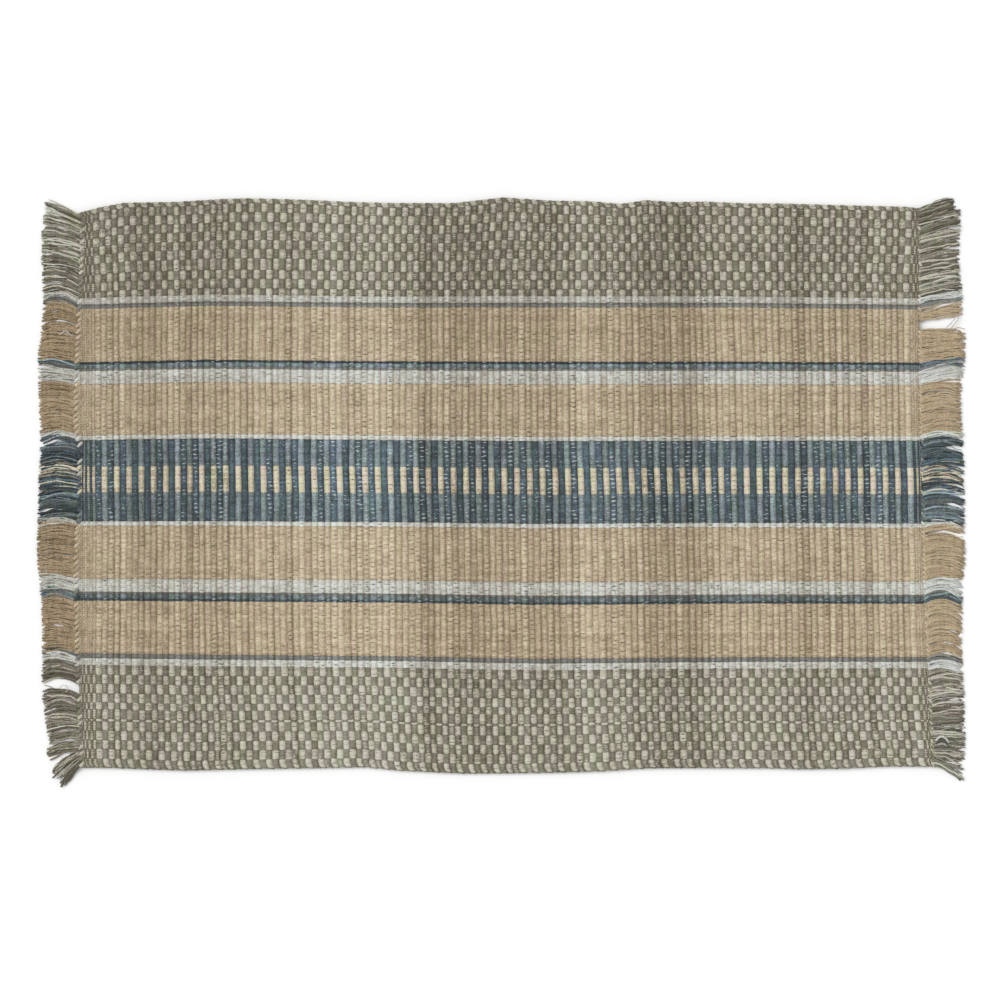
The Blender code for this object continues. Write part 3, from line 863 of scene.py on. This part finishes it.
def lock_roots(side, openings):
    """Middles of the locks across one end, without those where the fringe stands open."""
    end = weave_end(side, 0.0)
    near = read_rows(LONG_EDGES, "near", end) + CORNER_INSET
    far = read_rows(LONG_EDGES, "far", end) - CORNER_INSET
    count = round(float(far - near) / LOCK_PITCH)
    pitch = (far - near) / count
    roots = near + (np.arange(count) + 0.5) * pitch
    keep = [all(abs(root - place) > pitch / 2 for place in openings) for root in roots]
    return roots[keep], pitch


def end_at(across, middle_place):
    """The number of the warp end that lies at a place across the rug."""
    places = across_at(np.arange(WARP_ENDS) + 0.5, np.full(WARP_ENDS, middle_place))
    return int(np.argmin(np.abs(places - across)))


def fringe_yarn(end, parity):
    """The number of a loose end's yarn; the tans look browner outside the weave."""
    name = WARP_ORDER[end][parity]
    return YARN_NUMBERS["fringe_tan" if name in ("tan", "light_tan") else name]


def knot_yarn(names):
    """The number of a knot's yarn, among the pair of yarns that lies there."""
    if "navy" in names and rng.random() < KNOT_PALE_SHARE:
        return YARN_NUMBERS["pale_line"]
    if "cream" in names:
        return YARN_NUMBERS["cream" if rng.random() < KNOT_LIGHT_SHARE else "taupe"]
    return YARN_NUMBERS[names[rng.integers(0, 2)]]


def yarn_tone(number, place, manner):
    """A random tone for a loose end: even for the tans and greys, mixed and darker at a corner else."""
    if YARNS[number].name in PLAIN_FRINGE:
        return manner.plain_tone + rng.normal(0.0, PLAIN_TONE)
    corner = read_table(manner.corner_tones, place)
    return manner.mixed_tone + corner + rng.normal(0.0, MIXED_TONE)


def swing_of(wave, shares, phase):
    """How far a wave carries a loose end sideways, with a random size and turn."""
    size = wave.swing * rng.uniform(*wave.sizes)
    return size * np.sin(rng.uniform(*wave.turns) * shares + phase)


def yarn_path(lock, place, offset, kind):
    """Points of one loose end of a lock, from inside the weave to its tip on the floor."""
    shares = np.array(YARN_SHARES)
    side_of = lock.side_of
    spreading = np.interp(shares, SPREAD_PLACES, (KNOT_WAIST, 1.0, lock.fan))
    drift = kind.tangle * float(np.clip(rng.normal(), -DRIFT_LIMIT, DRIFT_LIMIT))
    reach = lock.tip + side_of * (TIP_STRAY * TIP_OVERHANG - abs(rng.normal(0.0, TIP_STRAY)))
    phase = rng.uniform(0.0, 2.0 * math.pi, 3)
    along = lock.knot_along + shares * (reach - lock.knot_along)
    sideways = lock.knot_across + (offset + drift * shares) * spreading + lock.lean * shares
    sideways = sideways + 4.0 * lock.bow * shares * (1.0 - shares)
    wave = swing_of(SLOW_WAVE, shares, phase[0])
    wave = wave + swing_of(QUICK_WAVE, shares, phase[2])
    sideways = sideways + wave * shares ** WAVE_GROWTH * kind.wave
    rest = YARN_RADIUS * (kind.rest if kind is BELOW else kind.rest + REST_RANGE * rng.random())
    level = rest + FRINGE_FALL * np.clip(1.0 - shares / FALL_SHARE, 0.0, 1.0)
    lift = 1.0 + np.sin(LIFT_TURN * shares + phase[1])
    level = level + LIFT * lift * (1.0 - LIFT_FADE * shares)
    inner = []
    for step in YARN_START:
        start_level = HALF_THICKNESS * step.level + kind.start
        inner.append((lock.edge + side_of * step.along, place + offset * step.gather, start_level))
    path = np.concatenate([inner, np.stack([along, sideways, level], axis=-1)])
    return np.concatenate([path, path[-1:] + np.array([[side_of * TIP_LENGTH, 0.0, 0.0]])])


def lock_yarns(lock, place, manner):
    """Paths, radii, yarns and tones of the loose ends of one lock.

    They lie in two layers, painted dark below as shade under the lighter upper layer, with a few thin
    wisps on top.
    """
    paths, radii, ids, tones = [], [], [], []
    lock_tone = rng.normal(0.0, LOCK_TONE)
    above = [ABOVE] * YARNS_ABOVE + [WISP] * WISPS
    for layer in ([BELOW] * YARNS_BELOW, above):
        for step, kind in enumerate(layer):
            offset = ((step + 0.5) / len(layer) - 0.5) * lock.pitch
            path = yarn_path(lock, place, offset, kind)
            thickness = WISP_RADIUS if kind is WISP else YARN_RADIUS * rng.uniform(*THICKNESS_RANGE)
            radius = np.full(len(path), thickness)
            radius[-2] *= TIP_TAPER
            radius[-1] = POINT_RADIUS
            paths.append(path)
            radii.append(radius)
            end = end_at(place + offset, lock.middle)
            ids.append(fringe_yarn(end, int(rng.random() > FIRST_YARN_SHARE)))
            plain = YARNS[ids[-1]].name in PLAIN_FRINGE
            tone = (kind.plain_tone if plain else kind.tone) + lock_tone
            tones.append(tone + yarn_tone(ids[-1], place, manner))
    return paths, radii, ids, tones


def stray_threads(strays):
    """The same for the single threads, with as many points as the loose ends."""
    paths, radii, ids, tones = [], [], [], []
    length = len(YARN_START) + len(YARN_SHARES) + 1
    for thread in strays:
        last = len(thread.along) - 1
        flat = []
        for places in (thread.along, thread.across):
            curve = np.polynomial.Polynomial.fit(np.arange(last + 1), places, last)
            flat.append(curve(np.linspace(0.0, last, length)))
        level = np.full(length, STRAY_LEVEL)
        level[[0, -1]] = thread.radius
        paths.append(np.stack([*flat, level], axis=-1))
        radius = np.full(length, thread.radius)
        radius[[0, -1]] = POINT_RADIUS
        radii.append(radius)
        ids.append(YARN_NUMBERS[thread.yarn])
        tones.append(thread.tone)
    return paths, radii, ids, tones


def knot_row(side_of, middle, roots, pitch, knots):
    """Fat twisted strokes of yarn side by side that bind the loose ends at the weave's end."""
    paths, radii, ids, tones = [], [], [], []
    w = np.linspace(-1.0, 1.0, KNOT_POINTS)
    first, last = roots[0] - pitch / 2, roots[-1] + pitch / 2
    count = round(float(last - first) / knots.pitch)
    for place in first + (np.arange(count) + 0.5) * (last - first) / count:
        if np.min(np.abs(roots - place)) > pitch / 2:
            continue
        for stroke in KNOT_STROKES:
            across = place + rng.normal(0.0, KNOT_STRAY_ACROSS) + knots.length * w
            along = float(along_at(middle, place)) + side_of * knots.place
            along = along + stroke.slope * side_of * knots.slant * w
            along = along + rng.normal(0.0, KNOT_STRAY_ALONG)
            level = KNOT_LEVEL + stroke.rise * (1.0 - w * w)
            paths.append(np.stack([along, across, level], axis=-1))
            thickness = knots.radius * rng.uniform(*THICKNESS_RANGE)
            radii.append(thickness * (1.0 - KNOT_TAPER * w ** 4))
            names = WARP_ORDER[end_at(place, middle)]
            ids.append(knot_yarn(names))
            darker = DARK_KNOT if "navy" in names else 0.0
            tones.append(stroke.tone - darker + rng.normal(0.0, KNOT_TONE))
    return paths, radii, ids, tones


def build_fringe(name, side, fringe, yarns):
    """Loose ends of the warp at one side, gathered by a row of knots, and the knots themselves."""
    side_of = 1.0 if side == "right" else -1.0
    roots, pitch = lock_roots(side, fringe.openings)
    middle = float(weave_end(side, 0.0))
    loose = list(stray_threads(fringe.strays))
    for root in roots:
        edge = float(along_at(middle, root))
        tip, lean, bow, fan = (
            float(read_rows(fringe.locks, column, root)) for column in LockRow._fields[1:]
        )
        lock = Lock(
            side_of=side_of,
            pitch=pitch,
            edge=edge,
            middle=middle,
            tip=tip,
            lean=lean + rng.normal(0.0, LOCK_STRAY),
            bow=bow,
            fan=fan * rng.uniform(*FAN_RANGE),
            knot_along=edge + side_of * (KNOT_PLACE + rng.normal(0.0, KNOT_STRAY_ALONG)),
            knot_across=root + rng.normal(0.0, ROOT_STRAY),
        )
        for gathered, found in zip(loose, lock_yarns(lock, root, fringe.manner)):
            gathered += found
    knotted = knot_row(side_of, middle, roots, pitch, fringe.manner.knots)
    loose_ends = tube_piece(f"{name}_yarns", *map(np.array, loose), yarns, YARN_SIDES, YARN_COLUMNS)
    knots = tube_piece(f"{name}_knots", *map(np.array, knotted), yarns, KNOT_SIDES, KNOT_COLUMNS)
    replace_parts(loose_ends, name)
    return [loose_ends, knots]


def add_node(tree, kind, **settings):
    """A shader node with its settings; those that aren't its own properties set its sockets."""
    node = tree.nodes.new(kind)
    for label, value in settings.items():
        if hasattr(node, label):
            setattr(node, label, value)
        else:
            node.inputs[label.replace("_", " ")].default_value = value
    return node


def stretched_noise(tree, coordinates, noise):
    """Noise with its own stretch along the three axes."""
    mapping = add_node(tree, "ShaderNodeMapping", Scale=noise.stretch)
    node = add_node(tree, "ShaderNodeTexNoise", Scale=noise.scale, Detail=noise.detail)
    tree.links.new(coordinates, mapping.inputs["Vector"])
    tree.links.new(mapping.outputs["Vector"], node.inputs["Vector"])
    return node.outputs["Fac"]


def weigh(tree, value, weight, total=None):
    """A value times its weight, on top of the total so far."""
    node = add_node(tree, "ShaderNodeMath", operation="MULTIPLY_ADD")
    tree.links.new(value, node.inputs[0])
    node.inputs[1].default_value = weight
    if total is None:
        node.inputs[2].default_value = 0.0
    else:
        tree.links.new(total, node.inputs[2])
    return node.outputs["Value"]


def named_value(tree, label):
    """One of the values that the mesh gives to its points."""
    node = add_node(tree, "ShaderNodeAttribute", attribute_type="GEOMETRY", attribute_name=label)
    return node.outputs["Fac"]


def ramp(tree, value, stops):
    """A colour ramp over a value, from pairs of a position and a colour."""
    node = add_node(tree, "ShaderNodeValToRGB")
    elements = node.color_ramp.elements
    while len(elements) < len(stops):
        elements.new(0.5)
    for element, (position, colour) in zip(elements, stops):
        element.position = position
        element.color = (*colour, 1.0)
    tree.links.new(value, node.inputs["Fac"])
    return node.outputs["Color"]


def shade(colour, factor, warmth=0.0):
    """A colour made lighter or darker, and warmer or cooler."""
    red, green, blue = (channel * factor for channel in colour)
    return (min(red * (1.0 + warmth), 1.0), min(green, 1.0), min(blue * (1.0 - warmth), 1.0))


def new_material(name):
    """A new material with its node tree, shader and coordinates."""
    material = bpy.data.materials.new(name)
    material.use_nodes = True
    tree = material.node_tree
    coordinates = add_node(tree, "ShaderNodeTexCoord").outputs["Object"]
    return material, tree, tree.nodes["Principled BSDF"], coordinates


def yarn_base(yarn):
    """Material, shader and colour that the warp, fringe and weft materials share."""
    material, tree, shader, coordinates = new_material(yarn.name)
    shader.inputs["Sheen Weight"].default_value = YARN_SHEEN
    shader.inputs["Specular IOR Level"].default_value = YARN_SPECULAR
    noises = {noise: stretched_noise(tree, coordinates, noise) for noise in NOISE_WEIGHTS}
    twist = add_node(tree, "ShaderNodeTexWave", bands_direction="DIAGONAL", **TWIST)
    tree.links.new(coordinates, twist.inputs["Vector"])
    # The tone value carries random tone and the painted shade and highlights
    total = weigh(tree, named_value(tree, "tone"), TONE_WEIGHT)
    for noise, weight in NOISE_WEIGHTS.items():
        total = weigh(tree, noises[noise], weight, total)
    total = weigh(tree, twist.outputs["Fac"], TWIST_WEIGHT, total)
    stops = [
        (DARK_STOP, shade(yarn.colour, yarn.dark, DARK_WARMTH)),
        (OWN_STOP, yarn.colour),
        (LIGHT_STOP, shade(yarn.colour, yarn.light, LIGHT_WARMTH)),
    ]
    shades = ramp(tree, total, stops)
    tints = [
        (place, [1.0 - yarn.hue * (1.0 - channel) for channel in colour]) for place, colour in TINTS
    ]
    tint = ramp(tree, stretched_noise(tree, coordinates, HUE), tints)
    tinted = mix_colours(tree, shades, tint)
    relief = weigh(tree, twist.outputs["Fac"], TWIST_RELIEF)
    relief = weigh(tree, noises[FIBRE], FIBRE_RELIEF, relief)
    bump = add_node(tree, "ShaderNodeBump", Strength=BUMP_STRENGTH, Distance=BUMP_DISTANCE)
    tree.links.new(relief, bump.inputs["Height"])
    tree.links.new(bump.outputs["Normal"], shader.inputs["Normal"])
    rough = add_node(tree, "ShaderNodeMapRange", To_Min=SMOOTHEST, To_Max=ROUGHEST)
    tree.links.new(noises[FIBRE], rough.inputs["Value"])
    tree.links.new(rough.outputs["Result"], shader.inputs["Roughness"])
    return material, tree, shader, tinted


def mix_colours(tree, first, second, share=None):
    """Two colours mixed by a share or, where there is none, their product."""
    node = add_node(tree, "ShaderNodeMix", data_type="RGBA")
    if share is None:
        node.blend_type = "MULTIPLY"
        node.inputs[0].default_value = 1.0
    else:
        tree.links.new(share, node.inputs[0])
    tree.links.new(first, node.inputs[6])
    tree.links.new(second, node.inputs[7])
    return node.outputs[2]


def warp_material(yarn):
    """Twisted yarn, with fine dots where the strands part: what lies below, painted dark as shade in
    light yarns.
    """
    material, tree, shader, tinted = yarn_base(yarn)
    first, last = yarn.parting - PARTING_SOFTNESS, yarn.parting + PARTING_SOFTNESS
    opening = add_node(tree, "ShaderNodeMapRange", From_Min=first, From_Max=last)
    tree.links.new(named_value(tree, "gap"), opening.inputs["Value"])
    # The colour in the gaps: the yarn below, painted dark as shade in the light yarns
    stops = [(tone, shade(yarn.peep, factor)) for tone, factor in PEEP_STOPS]
    below_and_shade = ramp(tree, named_value(tree, "tone"), stops)
    mixed = mix_colours(tree, tinted, below_and_shade, opening.outputs["Result"])
    tree.links.new(mixed, shader.inputs["Base Color"])
    return material


def weft_material():
    """Strips of mixed rag, with painted shade where they dip between the picks."""
    material, tree, shader, tinted = yarn_base(RAG_WEFT)
    painted_rib_shade = ramp(tree, named_value(tree, "rib"), RIB_SHADE_STOPS)
    tree.links.new(mix_colours(tree, tinted, painted_rib_shade), shader.inputs["Base Color"])
    return material


def floor_material():
    """Matt, faintly mottled pale paint."""
    material, tree, shader, coordinates = new_material("pale_floor")
    mottle = stretched_noise(tree, coordinates, FLOOR_MOTTLE)
    stops = [(place, shade(FLOOR_COLOUR, factor)) for place, factor in FLOOR_STOPS]
    tree.links.new(ramp(tree, mottle, stops), shader.inputs["Base Color"])
    shader.inputs["Roughness"].default_value = FLOOR_ROUGHNESS
    shader.inputs["Specular IOR Level"].default_value = FLOOR_SPECULAR
    return material


def build_rug():
    """The dressed rug: rag weft, warp floats on both faces, knots and fringes."""
    yarns = [warp_material(yarn) for yarn in YARNS]
    going_with = []
    starts = list(BAND_STARTS.values())
    for band_name, first, last in zip(BAND_STARTS, starts, starts[1:] + [WARP_ENDS]):
        for face_name, face in FACES.items():
            name = f"warp_{band_name}_{face_name}"
            going_with.append(build_warp(name, Band(first, last), face, yarns))
    left = Fringe(LEFT_LOCKS, LEFT_OPENINGS, LEFT_MANNER, LEFT_STRAYS)
    right = Fringe(RIGHT_LOCKS, RIGHT_OPENINGS, RIGHT_MANNER, RIGHT_STRAYS)
    going_with += build_fringe("fringe_left", "left", left, yarns)
    going_with += build_fringe("fringe_right", "right", right, yarns)
    sheet = build_weft([weft_material()])
    return sheet, going_with


def build_stage():
    """Pale floor, soft light from above and a camera that looks straight down."""
    bpy.ops.mesh.primitive_plane_add(size=FLOOR_SIZE, location=(0.0, 0.0, 0.0))
    floor = bpy.context.active_object
    floor.name = "pale_floor"
    floor.data.materials.append(floor_material())

    world = bpy.data.worlds.new("soft_light")
    world.use_nodes = True
    background = world.node_tree.nodes["Background"]
    background.inputs["Color"].default_value = (1.0, 1.0, 1.0, 1.0)
    background.inputs["Strength"].default_value = WORLD_STRENGTH
    scene = bpy.context.scene
    scene.world = world

    light = bpy.data.lights.new("key", "SUN")
    light.energy = KEY_STRENGTH
    light.angle = KEY_ANGLE
    key = bpy.data.objects.new("key", light)
    key.rotation_euler = KEY_TURN
    scene.collection.objects.link(key)

    camera_data = bpy.data.cameras.new("camera")
    camera_data.lens = CAMERA_SENSOR * (CAMERA_HEIGHT - HALF_THICKNESS) / PICTURE_WIDTH
    camera_data.sensor_width = CAMERA_SENSOR
    camera = bpy.data.objects.new("camera", camera_data)
    camera.location = (*PICTURE_MIDDLE, CAMERA_HEIGHT)
    scene.collection.objects.link(camera)
    scene.camera = camera
    scene.view_settings.view_transform = "Standard"
    return floor


pale_floor = build_stage()
cloth, on_cloth = build_rug()
